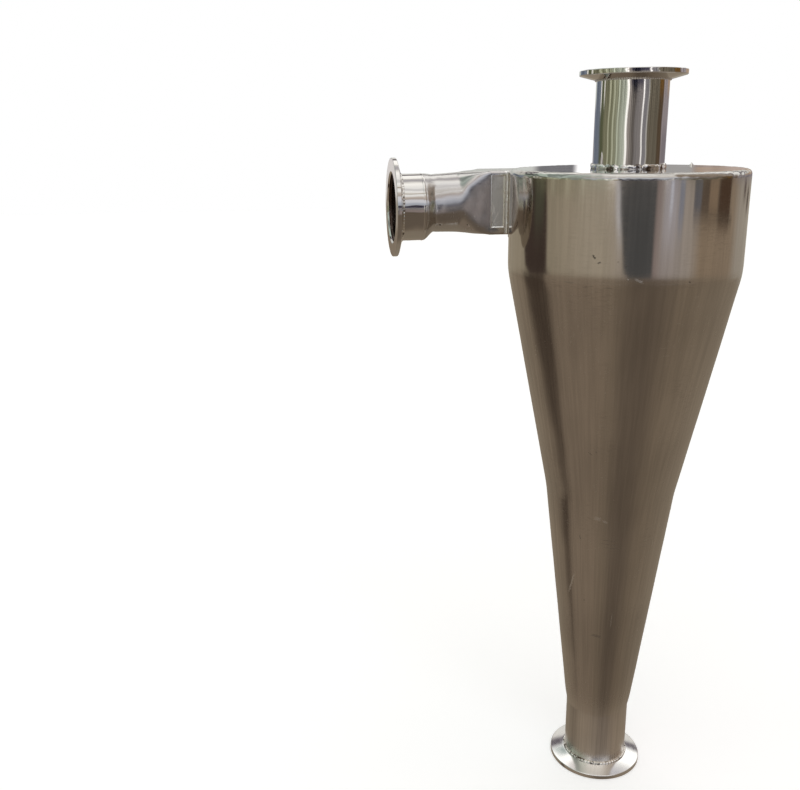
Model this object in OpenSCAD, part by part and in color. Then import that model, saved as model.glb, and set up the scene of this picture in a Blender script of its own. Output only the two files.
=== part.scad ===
// Small welded stainless steel cyclone separator with three clamp flange ports.
// Millimetres. Origin at the centre of the lower flange's face, +Z up.
// The inlet duct leaves along -X, behind the axis on the +Y side.

/* [Sheet and plates] */
// Thickness of the rolled barrel and cones
shell_t = 2; // [1.2:0.1:3]
// Thickness of the round top plate
plate_t = 2; // [1.5:0.1:4]
// Thickness of the inlet duct's plates
duct_t = 2; // [1.2:0.1:3]

/* [Barrel and cones] */
// Outer diameter of the barrel
barrel_d = 170; // [150:1:220]
// Height of the barrel, from the upper cone to the top plate
barrel_h = 71; // [62:1:120]
// Outer diameter where the two cones meet
waist_d = 100; // [90:1:125]
// Height of the upper cone
upper_cone_h = 174; // [120:1:240]
// Height of the lower cone
lower_cone_h = 196; // [120:1:260]
// Outer diameter of the lower cone at its bottom end
cone_end_d = 52.4; // [51.6:0.1:54]

/* [Pipes] */
// Outer diameter of the three pipes
pipe_d = 50.8; // [46:0.1:51]
// Wall thickness of the three pipes
pipe_t = 1.65; // [1.2:0.05:2]
// Length of the dust pipe, from the lower flange's face to the lower cone
dust_pipe_l = 54; // [35:1:120]
// Height of the outlet flange's face over the top plate
outlet_rise = 67; // [35:1:120]
// How far the outlet pipe reaches down below the top plate's underside
finder_l = 60; // [20:1:64]

/* [Clamp flanges] */
// Outer diameter of the flange rims
flange_d = 75; // [68:0.5:90]
// Thickness of the rim at its outer edge
rim_t = 3.5; // [2:0.1:5]
// Slope of the flange's clamping back, in degrees
back_angle = 15; // [10:1:20]
// Diameter of the ring recess in the flange's face
recess_d = 52.2; // [51.6:0.1:56]
// Depth of the ring recess
recess_depth = 2.6; // [1.5:0.1:3]
// Chamfer round the mouth of the recess
recess_chamfer = 1.2; // [0.4:0.1:1.4]
// Thickness of the ledge between the recess and the pipe's socket
ledge_t = 1.4; // [1:0.1:2]
// Width of the flat ring behind the cone, beside the pipe
hub_w = 2.4; // [1:0.1:4]
// Small chamfer on the rim's two outer edges
rim_chamfer = 0.3; // [0.1:0.1:0.8]

/* [Inlet] */
// Outer width of the box duct where it enters the barrel
duct_w = 50; // [44:0.5:56]
// Outer height of the box duct where it enters the barrel
duct_h = 47.5; // [46:0.5:56]
// Distance of the inlet pipe's axis below the top plate's upper face
inlet_drop = 29.3; // [27.5:0.1:32]
// Length of the inlet pipe, from the transition's seam to the flange's face
inlet_pipe_l = 24; // [14:1:90]
// Length of the transition, from the pipe's seam to the duct's straight box
transition_l = 48.5; // [36:0.5:80]
// Length of the shoulder in which the round pipe becomes a rounded square
shoulder_l = 8; // [4:0.5:14]
// Width of the rounded square at the end of the shoulder
shoulder_w = 46; // [42:0.5:50]
// Height of the rounded square at the end of the shoulder
shoulder_h = 43; // [40:0.5:48]
// Outer corner radius at the end of the shoulder
shoulder_r = 11; // [6:0.5:16]
// How far the rounded square's middle lies over the pipe's axis
shoulder_rise = 3.2; // [0:0.1:4]
// Corner radius of the transition's box end
duct_r = 0.8; // [0.4:0.1:2]
// Length of the duct's straight box in front of the barrel
box_l = 16; // [10:1:20]
// Distance of the duct's outer wall seam from the plane through the axis
tangent_x = 6; // [4:1:12]
// Depth of the framed field in the duct's front wall
field_depth = 0.6; // [0.3:0.1:1]
// Plain strip beside the framed field, at the transition
field_edge = 0.8; // [0.5:0.1:2]
// Plain strip between the framed field and the barrel
field_gap = 3; // [3:0.5:6]
// Plain strip under the framed field
field_low = 5.5; // [3:0.5:12]
// Plain strip over the framed field
field_high = 3; // [2.5:0.5:10]

/* [Welds] */
// Leg of the fillet welds behind the flanges
fillet = 2.2; // [1:0.1:4]
// Leg of the heavier fillet weld round the outlet pipe
outlet_fillet = 3.1; // [1.5:0.1:5]
// Leg of the fillet weld round the duct's mouth
mouth_fillet = 1.8; // [1:0.1:2.6]
// Width of the weld between the inlet pipe and the transition
pipe_seam_w = 2.2; // [1:0.1:4]
// Reach of the ground seams over the sheet, on each side
seam_w = 2.4; // [1:0.1:4]
// Height of the ground seams over the sheet
seam_proud = 0.5; // [0.2:0.1:1]
// Radius to which the weld round the top plate's rim is ground
rim_round = 4.5; // [4.1:0.1:6]
// Height of the weld drop near the plate's edge
drop_h = 1.8; // [0.8:0.1:4]
// Foot diameter of the weld drop
drop_d = 3.6; // [2:0.1:6]
// Diameter of the weld drop's tip
drop_tip_d = 0.9; // [0.4:0.1:1.8]
// Clear strip between the weld drop and the weld round the plate's rim
drop_inset = 0.1; // [0:0.1:9]
// Direction of the weld drop from the axis, in degrees from +X
drop_angle = 31; // [0:1:80]

/* [Hidden] */

turn_fn = 180;
cut_fn = 720;
blend_fn = 40;
round_fn = 48;
slab = 0.02;
over = 1;

barrel_r = barrel_d / 2;
waist_r = waist_d / 2;
cone_end_r = cone_end_d / 2;
pipe_r = pipe_d / 2;
bore_r = pipe_r - pipe_t;
flange_r = flange_d / 2;
recess_r = recess_d / 2;
hub_r = pipe_r + hub_w;
hub_h = rim_t + (flange_r - hub_r) * tan(back_angle);
socket_z = recess_depth + ledge_t;
plate_r = barrel_r - rim_round;

dust_top = dust_pipe_l;
waist_z = dust_top + lower_cone_h;
shoulder_z = waist_z + upper_cone_h;
plate_z = shoulder_z + barrel_h;
top_z = plate_z + plate_t;
outlet_z = top_z + outlet_rise;
barrel_top = top_z - rim_round;
finder_z = plate_z - finder_l;

inlet_y = barrel_r - pipe_r;
inlet_z = top_z - inlet_drop;
duct_y0 = barrel_r - duct_w;
duct_z0 = plate_z - duct_h;
duct_front_x = sqrt(barrel_r * barrel_r - duct_y0 * duct_y0);
box_x = duct_front_x + box_l;
seam_reach = box_x + transition_l;
shoulder_x = seam_reach - shoulder_l;
inlet_reach = seam_reach + inlet_pipe_l;

steel = [0.60, 0.57, 0.53];
bright = [0.80, 0.79, 0.77];
bead = [0.70, 0.67, 0.62];

// A ring turned from a profile of [radius, height] points
module turned(points) {
    rotate_extrude($fn = turn_fn) polygon(points);
}

// Clamp flange with its sealing face on z = 0, facing down
module clamp_flange() {
    turned([[recess_r + recess_chamfer, 0],
            [flange_r - rim_chamfer, 0],
            [flange_r, rim_chamfer],
            [flange_r, rim_t - rim_chamfer],
            [flange_r - rim_chamfer, rim_t],
            [hub_r, hub_h],
            [pipe_r, hub_h],
            [pipe_r, socket_z],
            [bore_r, socket_z],
            [bore_r, recess_depth],
            [recess_r, recess_depth],
            [recess_r, recess_chamfer]]);
}

// Slightly convex fillet weld between a pipe and a flat face on z = 0, growing up
module pipe_fillet(leg) {
    steps = 6;
    fullness = 1.4;
    turned(concat([[pipe_r, 0]],
                  [for (i = [0 : steps])
                      let (a = 90 * i / steps)
                      [pipe_r + leg * pow(cos(a), fullness), leg * pow(sin(a), fullness)]]));
}

// Straight length of pipe from z0 to z1
module pipe(z0, z1) {
    turned([[bore_r, z0], [pipe_r, z0], [pipe_r, z1], [bore_r, z1]]);
}

// Places a piece made along +Z so that it points along the inlet, outwards
module on_inlet(reach) {
    translate([-reach, inlet_y, inlet_z]) rotate([0, -90, 0]) children();
}

// Raised ground seam that follows two sheets which meet at a corner
// up and low are the points where it fades out above and below the corner
module ground_seam(up, corner, low) {
    crown = [seam_proud, 0];
    flank = crown * 0.8;
    turned([up, (corner + up) / 2 + flank, corner + crown, (corner + low) / 2 + flank, low, corner]);
}

// Conical shell between two outer radii, with its wall measured across the sheet
module cone_shell(r0, z0, r1, z1) {
    wall = shell_t / cos(atan((r1 - r0) / (z1 - z0)));
    turned([[r0 - wall, z0], [r0, z0], [r1, z1], [r1 - wall, z1]]);
}

// Outer block of the box duct, from the barrel's inside to the straight box's end
module duct_block(y0, y1, z0, z1) {
    difference() {
        translate([-box_x, y0, z0]) cube([box_x - tangent_x, y1 - y0, z1 - z0]);
        translate([0, 0, z0 - over]) cylinder(r = barrel_r - shell_t, h = z1 - z0 + 2 * over, $fn = turn_fn);
    }
}

// Four round corner discs of one section of the transition
module section(x, w, h, r, y, z) {
    for (sy = [-1, 1], sz = [-1, 1])
        translate([-x, y + sy * (w / 2 - r), z + sz * (h / 2 - r)])
            rotate([0, 90, 0])
                cylinder(r = r, h = slab, center = true, $fn = blend_fn);
}

// Round end of the transition, at the pipe
module round_end(r, lengthen) {
    section(seam_reach + lengthen, 2 * r, 2 * r, r, inlet_y, inlet_z);
}

// Rounded square behind the shoulder
module shoulder_end(wall) {
    section(shoulder_x, shoulder_w - 2 * wall, shoulder_h - 2 * wall, shoulder_r - wall,
            inlet_y, inlet_z + shoulder_rise);
}

// Box end of the transition, at the duct's straight box
module square_end(wall, lengthen) {
    section(box_x - lengthen, duct_w - 2 * wall, duct_h - 2 * wall, duct_r,
            duct_y0 + duct_w / 2, duct_z0 + duct_h / 2);
}

module lower_flange() {
    color(bright) clamp_flange();
}

module lower_flange_weld() {
    color(bead) translate([0, 0, hub_h]) pipe_fillet(fillet);
}

module dust_pipe() {
    color(bright) pipe(socket_z, dust_top);
}

module dust_pipe_weld() {
    color(bead)
        turned([[pipe_r, dust_top - fillet],
                [cone_end_r, dust_top],
                [pipe_r, dust_top]]);
}

module lower_cone() {
    color(steel) cone_shell(cone_end_r, dust_top, waist_r, waist_z);
}

module waist_weld() {
    lower_slope = (waist_r - cone_end_r) / lower_cone_h;
    upper_slope = (barrel_r - waist_r) / upper_cone_h;
    color(bead)
        ground_seam([waist_r + seam_w * upper_slope, waist_z + seam_w],
                    [waist_r, waist_z],
                    [waist_r - seam_w * lower_slope, waist_z - seam_w]);
}

module upper_cone() {
    color(steel) cone_shell(waist_r, waist_z, barrel_r, shoulder_z);
}

module shoulder_weld() {
    slope = (barrel_r - waist_r) / upper_cone_h;
    color(bead)
        ground_seam([barrel_r, shoulder_z + seam_w],
                    [barrel_r, shoulder_z],
                    [barrel_r - seam_w * slope, shoulder_z - seam_w]);
}

module barrel() {
    color(steel)
        difference() {
            turned([[barrel_r - shell_t, shoulder_z],
                    [barrel_r, shoulder_z],
                    [barrel_r, barrel_top],
                    [barrel_r - shell_t, barrel_top]]);
            translate([-barrel_r - over, duct_y0, duct_z0])
                cube([barrel_r + over - tangent_x, duct_w + over, duct_h + over]);
        }
}

module top_plate() {
    color(steel)
        turned([[pipe_r, plate_z],
                [plate_r, plate_z],
                [plate_r, top_z],
                [pipe_r, top_z]]);
}

// Corner weld that fills the step between plate and barrel, ground to a round
module top_plate_weld() {
    steps = 10;
    color(bead)
        difference() {
            turned(concat([[plate_r, plate_z],
                           [barrel_r - shell_t, plate_z],
                           [barrel_r - shell_t, barrel_top]],
                          [for (i = [0 : steps])
                              let (a = 90 * i / steps)
                              [plate_r + rim_round * cos(a), barrel_top + rim_round * sin(a)]]));
            translate([-barrel_r - over, duct_y0, duct_z0])
                cube([barrel_r + over - tangent_x, duct_w + over, duct_h]);
        }
}

module weld_drop() {
    color(bead)
        rotate([0, 0, drop_angle])
            translate([plate_r - drop_inset - drop_d / 2, 0, top_z])
                cylinder(d1 = drop_d, d2 = drop_tip_d, h = drop_h, $fn = round_fn);
}

module outlet_pipe() {
    color(bright) pipe(finder_z, outlet_z - socket_z);
}

module outlet_pipe_weld() {
    color(bead) translate([0, 0, top_z]) pipe_fillet(outlet_fillet);
}

module outlet_flange() {
    color(bright) translate([0, 0, outlet_z]) mirror([0, 0, 1]) clamp_flange();
}

module outlet_flange_weld() {
    color(bead) translate([0, 0, outlet_z - hub_h]) mirror([0, 0, 1]) pipe_fillet(fillet);
}

module inlet_flange() {
    color(bright) on_inlet(inlet_reach) mirror([0, 0, 1]) clamp_flange();
}

module inlet_flange_weld() {
    color(bead) on_inlet(inlet_reach - hub_h) mirror([0, 0, 1]) pipe_fillet(fillet);
}

module inlet_pipe() {
    color(bright) on_inlet(0) pipe(seam_reach, inlet_reach - socket_z);
}

module inlet_pipe_weld() {
    color(bead)
        on_inlet(seam_reach)
            turned([[pipe_r, 0],
                    [pipe_r + seam_proud, pipe_seam_w / 4],
                    [pipe_r + seam_proud, pipe_seam_w * 3 / 4],
                    [pipe_r, pipe_seam_w]]);
}

// Sheet pressed from the round pipe to a rounded square, then widened to the duct
module inlet_transition() {
    color(bright)
        difference() {
            union() {
                hull() {
                    round_end(pipe_r, 0);
                    shoulder_end(0);
                }
                hull() {
                    shoulder_end(0);
                    square_end(0, 0);
                }
            }
            hull() {
                round_end(bore_r, slab);
                shoulder_end(duct_t);
            }
            hull() {
                shoulder_end(duct_t);
                square_end(duct_t, slab);
            }
        }
}

module duct_front_wall() {
    color(steel)
        difference() {
            duct_block(duct_y0, duct_y0 + duct_t, duct_z0, plate_z);
            translate([-box_x + field_edge, duct_y0 - over, duct_z0 + field_low])
                cube([box_l - field_edge - field_gap, over + field_depth,
                      duct_h - field_low - field_high]);
        }
}

module duct_top_wall() {
    color(steel) duct_block(duct_y0 + duct_t, barrel_r - duct_t, plate_z - duct_t, plate_z);
}

module duct_bottom_wall() {
    color(steel) duct_block(duct_y0 + duct_t, barrel_r - duct_t, duct_z0, duct_z0 + duct_t);
}

module duct_outer_wall() {
    color(steel)
        translate([-box_x, barrel_r - duct_t, duct_z0])
            cube([box_x - tangent_x, duct_t, duct_h]);
}

// Fillet up the front corner between duct and barrel, and round the barrel under the duct
module duct_mouth_weld() {
    leg = mouth_fillet;
    hollow_r = leg * 0.9;
    bulge = leg * 0.55;
    start = atan2(duct_y0, -duct_front_x);
    finish = 90 + asin(tangent_x / barrel_r);
    color(bead) {
        difference() {
            translate([-duct_front_x - leg, duct_y0 - leg, duct_z0 - leg])
                cube([2 * leg, leg, barrel_top - duct_z0 + leg]);
            translate([0, 0, duct_z0 - leg - over])
                cylinder(r = barrel_r, h = duct_h + leg + 2 * over, $fn = turn_fn);
            translate([-duct_front_x - leg, duct_y0 - leg, duct_z0 - leg - over])
                cylinder(r = hollow_r, h = duct_h + leg + 2 * over, $fn = round_fn);
        }
        rotate([0, 0, finish])
            rotate_extrude(angle = start - finish, $fn = turn_fn)
                polygon([[barrel_r, duct_z0], [barrel_r, duct_z0 - leg],
                         [barrel_r + bulge, duct_z0 - bulge], [barrel_r + leg, duct_z0]]);
    }
}

// Ground seam where the duct's outer wall runs into the barrel
module duct_outer_weld() {
    color(bead)
        difference() {
            translate([0, 0, duct_z0])
                linear_extrude(barrel_top - duct_z0)
                    polygon([[-tangent_x - seam_w, barrel_r],
                             [-tangent_x, barrel_r + seam_proud],
                             [-tangent_x + seam_w, barrel_r - seam_proud],
                             [-tangent_x, barrel_r - duct_t]]);
            translate([0, 0, duct_z0 - over])
                cylinder(r = barrel_r, h = duct_h + 2 * over, $fn = cut_fn);
            translate([-tangent_x - duct_w, barrel_r - duct_t, duct_z0 - over])
                cube([duct_w, duct_t, duct_h + 2 * over]);
        }
}

lower_flange();
lower_flange_weld();
dust_pipe();
dust_pipe_weld();
lower_cone();
waist_weld();
upper_cone();
shoulder_weld();
barrel();
top_plate();
top_plate_weld();
weld_drop();
outlet_pipe();
outlet_pipe_weld();
outlet_flange();
outlet_flange_weld();
inlet_flange();
inlet_flange_weld();
inlet_pipe();
inlet_pipe_weld();
inlet_transition();
duct_front_wall();
duct_top_wall();
duct_bottom_wall();
duct_outer_wall();
duct_mouth_weld();
duct_outer_weld();
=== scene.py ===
# %% [markdown]
# # A small welded cyclone separator
# The real thing is stainless sheet and pipe, welded and then ground and polished by hand.
# Nearly every piece is round, so nearly every piece is turned: a thin outline is drawn beside
# an axis and spun round it. The inlet duct is the exception, because it changes from a round
# pipe to a square box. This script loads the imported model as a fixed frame, and gives every
# node of it a worked steel finish, nearly all of them on a finer mesh.

# %% Load the frame
import math

import bpy
from mathutils import Matrix, Vector


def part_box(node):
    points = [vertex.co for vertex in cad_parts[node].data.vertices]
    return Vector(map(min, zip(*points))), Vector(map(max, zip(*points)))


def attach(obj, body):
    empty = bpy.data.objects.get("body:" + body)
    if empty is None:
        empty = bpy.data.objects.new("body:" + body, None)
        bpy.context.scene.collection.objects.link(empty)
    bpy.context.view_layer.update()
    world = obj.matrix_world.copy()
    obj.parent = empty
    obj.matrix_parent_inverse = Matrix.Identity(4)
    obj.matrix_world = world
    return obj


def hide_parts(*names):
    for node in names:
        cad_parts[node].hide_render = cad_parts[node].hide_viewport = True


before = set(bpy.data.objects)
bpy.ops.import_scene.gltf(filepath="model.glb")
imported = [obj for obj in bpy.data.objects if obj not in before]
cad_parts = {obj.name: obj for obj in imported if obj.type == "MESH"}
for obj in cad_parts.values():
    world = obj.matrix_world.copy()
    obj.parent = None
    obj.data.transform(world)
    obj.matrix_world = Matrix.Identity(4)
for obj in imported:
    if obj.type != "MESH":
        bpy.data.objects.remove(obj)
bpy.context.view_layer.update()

# %% [markdown]
# ## Where things are
# The sizes come from the frame, so that a piece goes exactly where its node is. A node's box
# gives its lowest and highest corner. Small lengths are easier to read in millimetres.

# %% Driving sizes from the frame
MM = 0.001
low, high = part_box("barrel")
BARREL_R, SHOULDER_Z, BARREL_TOP = high.x, low.z, high.z
low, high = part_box("top_plate")
PLATE_R, PLATE_Z, TOP_Z = high.x, low.z, high.z
low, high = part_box("inlet_flange")
INLET_X, INLET_Y, INLET_Z = low.x, (low.y + high.y) / 2, (low.z + high.z) / 2
FLANGE_R = (high.y - low.y) / 2
WAIST_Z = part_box("upper_cone")[0].z
DUST_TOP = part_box("dust_pipe")[1].z
HUB_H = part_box("lower_flange")[1].z
PIPE_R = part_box("outlet_pipe")[1].x
OUTLET_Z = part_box("outlet_flange")[1].z
SEAM_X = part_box("inlet_pipe")[1].x
BOX_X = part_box("duct_top_wall")[0].x
TANGENT_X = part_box("duct_outer_wall")[1].x
low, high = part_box("duct_front_wall")
DUCT_Y, DUCT_Z = low.y, low.z
FRONT_X = -math.sqrt(BARREL_R ** 2 - DUCT_Y ** 2)
SHELL_T = 2 * MM
PIPE_T = 1.65 * MM
CONE_END_R = 26.2 * MM
WAIST_R = 50 * MM
print("barrel radius", BARREL_R, "pipe radius", PIPE_R, "inlet axis", INLET_Y, INLET_Z)

# %% [markdown]
# ## Camera
# The camera stands a little to the left of the object and above its top plate, looks down by
# 16 degrees, and is tipped by just over half a degree, as a camera in the hand is. Its three
# axes are worked out from those angles, because that stays readable when one of them changes.

# %% Camera at the photograph's viewing angle
CAMERA_PLACE = Vector((-0.2538, -0.6470, 0.5234))
CAMERA_TURN = math.radians(7.5)
CAMERA_DOWN = math.radians(16.21)
CAMERA_TIP = math.radians(-0.60)
LENS = 40.6
ahead = Vector((math.sin(CAMERA_TURN), math.cos(CAMERA_TURN), 0))
side = Vector((math.cos(CAMERA_TURN), -math.sin(CAMERA_TURN), 0))
sight = ahead * math.cos(CAMERA_DOWN) - Vector((0, 0, math.sin(CAMERA_DOWN)))
level_up = ahead * math.sin(CAMERA_DOWN) + Vector((0, 0, math.cos(CAMERA_DOWN)))
right = side * math.cos(CAMERA_TIP) + level_up * math.sin(CAMERA_TIP)
up = level_up * math.cos(CAMERA_TIP) - side * math.sin(CAMERA_TIP)
camera_data = bpy.data.cameras.new("camera")
camera_data.sensor_width = 36
camera_data.lens = LENS
camera_data.clip_start = 0.01
camera = bpy.data.objects.new("camera", camera_data)
bpy.context.scene.collection.objects.link(camera)
camera.matrix_world = Matrix.Translation(CAMERA_PLACE) @ Matrix((right, up, -sight)).transposed().to_4x4()
bpy.context.scene.camera = camera
print("camera at", tuple(CAMERA_PLACE))

# %% [markdown]
# ## Helpers for node trees
# A material is a tree of small nodes, and so is the world. A few short helpers keep the trees
# readable. They all work in the tree that was named last: one adds a node and fills or links
# its sockets, one adds a step of arithmetic, and the others are made from these two.

# %% Node helpers
def work_on(tree):
    """Empties a tree and makes it the one that the helpers work in"""
    global bench
    bench = tree
    tree.nodes.clear()


def plug(value, socket):
    """Links an output to an input socket, or writes a plain value into it"""
    if isinstance(value, bpy.types.NodeSocket):
        bench.links.new(value, socket)
    else:
        socket.default_value = (*value, 1) if socket.type == "RGBA" else value


def add(kind, sockets=None, **settings):
    """Adds a node, sets its properties, and fills or links its input sockets"""
    node = bench.nodes.new("ShaderNode" + kind)
    for name, value in settings.items():
        setattr(node, name, value)
    for name, value in (sockets or {}).items():
        plug(value, node.inputs[name])
    return node


def use(group, **sockets):
    """Places a node group and returns its outputs"""
    named = {name.replace("_", " ").capitalize(): value for name, value in sockets.items()}
    return add("Group", named, node_tree=group).outputs


def calc(operation, first, second=0.0, third=0.0):
    """One step of arithmetic, returned as its output socket"""
    return add("Math", {0: first, 1: second, 2: third}, operation=operation).outputs[0]


def times(first, second):
    """The product of two values"""
    return calc("MULTIPLY", first, second)


def fade(value, start, end, low=0.0, high=1.0):
    """A soft step from low to high as value goes from start to end"""
    edges = {"Value": value, "From Min": start, "From Max": end, "To Min": low, "To Max": high}
    return add("MapRange", edges, interpolation_type="SMOOTHSTEP").outputs["Result"]


def noise(vector, scale=1.0, detail=2.0, roughness=0.5):
    """A cloudy grey pattern"""
    values = {"Vector": vector, "Scale": scale, "Detail": detail, "Roughness": roughness}
    return add("TexNoise", values).outputs["Fac"]


def blend(amount, first, second, how="MIX"):
    """Mixes two colours by a mask"""
    node = add("Mix", data_type="RGBA", blend_type=how)
    for name, value in (("Factor_Float", amount), ("A_Color", first), ("B_Color", second)):
        plug(value, next(s for s in node.inputs if s.identifier == name))
    return next(s for s in node.outputs if s.identifier == "Result_Color")


def shade(colour, factor):
    """Multiplies a colour by a value or by another colour"""
    return blend(1.0, colour, factor, how="MULTIPLY")


def ramp(position, stops, start=-180, end=180):
    """A colour ramp from start to end whose stops are written in the same units as position"""
    spread = end - start
    node = add("ValToRGB", {"Fac": calc("MULTIPLY_ADD", position, 1 / spread, -start / spread)})
    elements = node.color_ramp.elements
    while len(elements) < len(stops):
        elements.new(1.0)
    for element, (where, colour) in zip(elements, stops):
        element.position = (where - start) / spread
        element.color = (*colour, 1)
    return node.outputs["Color"]


# %% [markdown]
# ## What the steel mirrors
# Polished steel has hardly any colour of its own: what one sees is the room. So the studio is
# the most important finish here. The world is worked out from the direction in which a ray
# leaves: its azimuth, 0 towards the front and positive to the right, its elevation, and the
# angle at which it passes overhead from front to back. Rows of lamps and beams run across the
# ceiling, so their angle overhead is all that counts for them.
# The camera itself sees plain white instead.

# %% Direction of a ray
world = bpy.data.worlds.new("studio")
bpy.context.scene.world = world
world.use_nodes = True
work_on(world.node_tree)
direction = add("TexCoord").outputs["Generated"]
ray = add("SeparateXYZ", {"Vector": direction}).outputs
forward = times(ray["Y"], -1)


def degrees(operation, *sides):
    """An angle, in degrees"""
    return times(calc(operation, *sides), 180 / math.pi)


azimuth = degrees("ARCTAN2", ray["X"], forward)
behind = degrees("ARCTAN2", ray["X"], ray["Y"])
elevation = degrees("ARCSINE", ray["Z"])
overhead = degrees("ARCTAN2", ray["Z"], forward)
print("directions ready")


# %% [markdown]
# Walls are ramps of colour along the azimuth. What stands before them is laid over them one
# by one, like cards with soft edges. A row gives a card's colour, where its two sides are,
# its lowest and highest elevation, how soft its sides and its other two edges are, and how
# far its sides lean.

# %% Cards
def card(seen, around, colour, sides, heights, soft=1.0, soft_edge=0.5, lean=(0.0, 0.0)):
    """Lays a soft patch of one colour over what is seen so far; lean slants its two sides"""
    middle = (heights[0] + heights[1]) / 2
    mask = 1.0
    for edge, way, slant in zip(sides, (1, -1), lean):
        place = calc("MULTIPLY_ADD", calc("SUBTRACT", elevation, middle), slant, around) if slant else around
        mask = times(mask, fade(place, edge - way * soft, edge + way * soft))
    for edge, way in zip(heights, (1, -1)):
        mask = times(mask, fade(elevation, edge - way * soft_edge, edge + way * soft_edge))
    return blend(mask, seen, colour)


# %% [markdown]
# The floor is warm and dim, and darkest straight in front. A long dark wedge lies across it
# on the left, and shows on the cones as a slanting streak.

# %% Floor of the room
WARM_FLOOR = (0.265, 0.21, 0.16)
DIM_FLOOR = (0.25, 0.20, 0.15)
DARK_FLOOR = (0.165, 0.13, 0.10)
FAR_FLOOR = (0.30, 0.25, 0.19)
ground = ramp(azimuth, [
    (-180, FAR_FLOOR), (-95, (0.27, 0.215, 0.165)), (-45, WARM_FLOOR), (-30, DIM_FLOOR), (-9, DARK_FLOOR),
    (17, DARK_FLOOR), (44, DIM_FLOOR), (100, (0.29, 0.24, 0.185)), (180, FAR_FLOOR)])
wedge_reach = fade(elevation, -48, -20, 0.0, 33.0)
wedge = times(fade(calc("ADD", azimuth, wedge_reach), -105.5, -100.5), fade(azimuth, -101, -104))
ground = blend(wedge, ground, (0.075, 0.055, 0.042))

# %% [markdown]
# The walls just below the horizon are what the barrel mirrors: warm plaster, a dark recess on
# the left, a steel door in the middle with a strip of daylight beside it, a cool window, and
# a stack of brown crates on the right.

# %% Walls below the horizon
WARM_WALL = (0.38, 0.335, 0.26)
PALE_WALL = (0.45, 0.40, 0.325)
DARK_RECESS = (0.065, 0.047, 0.04)
STEEL_DOOR = (0.098, 0.10, 0.104)
CRATES = (0.12, 0.09, 0.07)
walls = ramp(azimuth, [
    (-180, WARM_WALL), (-95, WARM_WALL), (-75, (0.41, 0.36, 0.285)), (-55, PALE_WALL), (-37, PALE_WALL),
    (-20, (0.44, 0.385, 0.33)), (8, (0.34, 0.28, 0.27)), (15, (0.40, 0.36, 0.35)),
    (42, (0.43, 0.385, 0.35)), (54, (0.34, 0.265, 0.195)), (95, (0.335, 0.265, 0.20)),
    (108, (0.42, 0.38, 0.33)), (140, (0.40, 0.36, 0.30)), (180, WARM_WALL)])
room = blend(fade(elevation, -14, -9), ground, walls)
for row in ((DARK_RECESS, (-136, -100.5), (-12, 1), 2, 0.5, (1.9, 0.5)),
            ((0.09, 0.09, 0.065), (-118, -105), (-5.6, 1), 3, 1.5),
            ((0.66, 0.66, 0.70), (-31.5, -24), (-6.4, 0), 2.2, 1.6, (1.4, 1.4)),
            (STEEL_DOOR, (-23.8, 6.6), (-11.5, 0), 1.6, 0.5, (1.5, 0)),
            ((0.48, 0.46, 0.50), (14, 27), (-6.6, 0), 2.2, 1.6),
            ((0.74, 0.78, 0.92), (19.3, 22), (-4.9, 0), 1.2, 0.8),
            ((0.285, 0.305, 0.38), (28, 33), (-5.8, 0), 1.0, 0.9),
            (CRATES, (43, 89), (-5.35, 1), 0.8, 0.15),
            ((0.15, 0.155, 0.18), (43, 51), (-5.1, 1), 0.8, 0.3),
            ((0.30, 0.22, 0.155), (60, 71), (-5.0, 1), 1.5, 0.3),
            ((0.085, 0.052, 0.035), (73, 88), (-5.65, 1), 0.8, 0.12),
            ((0.085, 0.07, 0.055), (50, 93), (-5.35, -4.9), 2.5, 0.15),
            ((0.13, 0.10, 0.09), (115, 121), (-3.9, -2.8), 1.5),
            ((0.10, 0.075, 0.065), (126, 132), (-4.6, -3.3), 1.5)):
    room = card(room, azimuth, *row)

# %% [markdown]
# The walls above the horizon are what the outlet pipe mirrors. They hold many narrow windows
# and posts, which show as fine upright lines. A slow ripple keeps those lines from being
# quite straight.

# %% Walls above the horizon
OLIVE = (0.25, 0.245, 0.16)
DARK_OLIVE = (0.12, 0.13, 0.075)
GREY_POST = (0.27, 0.25, 0.25)
BROWN_WALL = (0.17, 0.148, 0.112)
DARK_BROWN = (0.12, 0.085, 0.055)
ripple = calc("COSINE", calc("MULTIPLY_ADD", elevation, 1.8, -0.54))
upper_walls = ramp(calc("MULTIPLY_ADD", ripple, 1.7, azimuth), [
    (-141, (0.19, 0.22, 0.28)), (-128, DARK_OLIVE), (-119, DARK_OLIVE), (-112, OLIVE), (-98, OLIVE),
    (-94, (0.62, 0.63, 0.47)), (-90, (0.22, 0.22, 0.14)), (-81.5, (0.28, 0.285, 0.19)),
    (-78, (0.62, 0.64, 0.49)), (-74, (0.29, 0.295, 0.20)), (-65.5, (0.32, 0.33, 0.24)),
    (-62, (0.66, 0.71, 0.58)), (-58, (0.36, 0.38, 0.29)), (-53, (0.52, 0.56, 0.46)),
    (-38.5, (0.62, 0.66, 0.57)), (-36.5, (1.4, 1.4, 1.36)), (-32.5, (1.6, 1.58, 1.55)),
    (-30, (0.40, 0.36, 0.34)), (-20, (0.30, 0.27, 0.25)), (-12, (0.145, 0.128, 0.118)), (-5, GREY_POST),
    (11.8, GREY_POST), (15, (1.45, 1.42, 1.42)), (18.2, (0.26, 0.25, 0.265)), (28.8, (0.26, 0.25, 0.27)),
    (31.5, (0.78, 0.76, 0.73)), (34.5, BROWN_WALL), (70, BROWN_WALL), (76, DARK_BROWN), (90, DARK_BROWN),
    (97, (0.36, 0.32, 0.335))])
room = blend(fade(elevation, -3.0, -2.2), room, upper_walls)
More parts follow.
